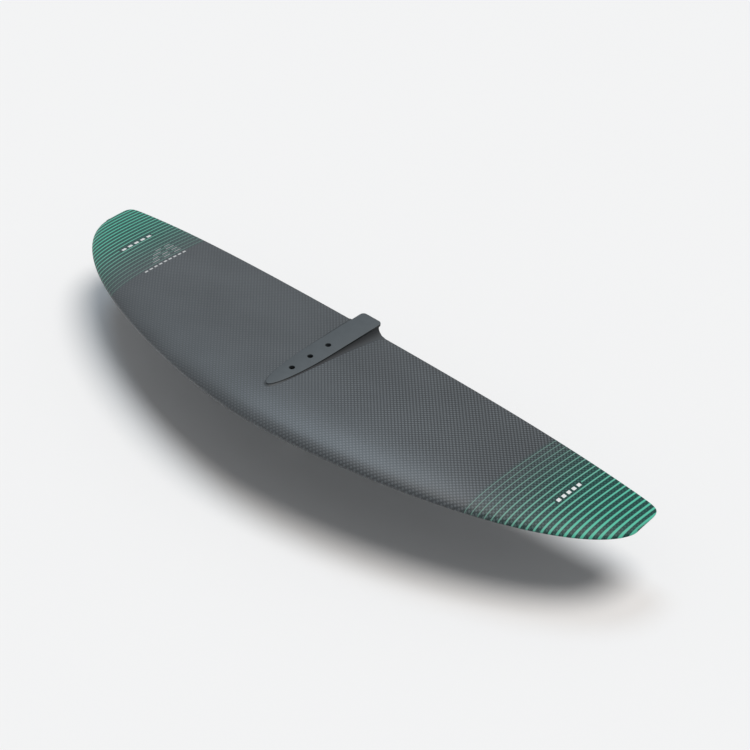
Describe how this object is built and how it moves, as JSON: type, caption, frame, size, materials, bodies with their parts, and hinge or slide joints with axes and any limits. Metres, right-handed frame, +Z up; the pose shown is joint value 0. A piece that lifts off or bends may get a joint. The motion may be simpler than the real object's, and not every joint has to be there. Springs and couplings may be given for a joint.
{
  "type": "hydrofoil front wing",
  "caption": "Moulded carbon front wing of a hydrofoil board, with drooping squared tips and a raised seat with bolt holes that the fuselage is clamped to.",
  "frame": {"origin": "middle of the flat seat face that the fuselage rests on, on the centreline, between the middle and the rear bolt hole", "axes": "+X along the span, +Y towards the trailing edge, +Z up, out of the seat face"},
  "size_m": [0.8766, 0.2253, 0.0412],
  "materials": {
    "carbon_skin": "plain-woven carbon laminate under a satin clear coat, tinted teal and striped in mint green at the tips",
    "seat_laminate": "fine matt grey moulded laminate",
    "spar_laminate": "cured straight carbon fibre",
    "foam_core": "closed-cell foam",
    "block_laminate": "dense glass-fibre laminate",
    "sleeve_metal": "turned and black anodised"
  },
  "bodies": {
    "root": {"upper_skin": "carbon_skin", "lower_skin": "carbon_skin", "leading_edge_left": "carbon_skin", "leading_edge_right": "carbon_skin", "trailing_edge_left": "carbon_skin", "trailing_edge_right": "carbon_skin", "tip_left": "carbon_skin", "tip_right": "carbon_skin", "fuselage_seat": "seat_laminate", "spar_cap_upper": "spar_laminate", "spar_cap_lower": "spar_laminate", "shear_web_left": "spar_laminate", "shear_web_right": "spar_laminate", "nose_core_left": "foam_core", "nose_core_right": "foam_core", "tail_core_left": "foam_core", "tail_core_right": "foam_core", "mounting_block": "block_laminate", "bolt_sleeve_front": "sleeve_metal", "bolt_sleeve_middle": "sleeve_metal", "bolt_sleeve_rear": "sleeve_metal"}
  },
  "joints": []
}
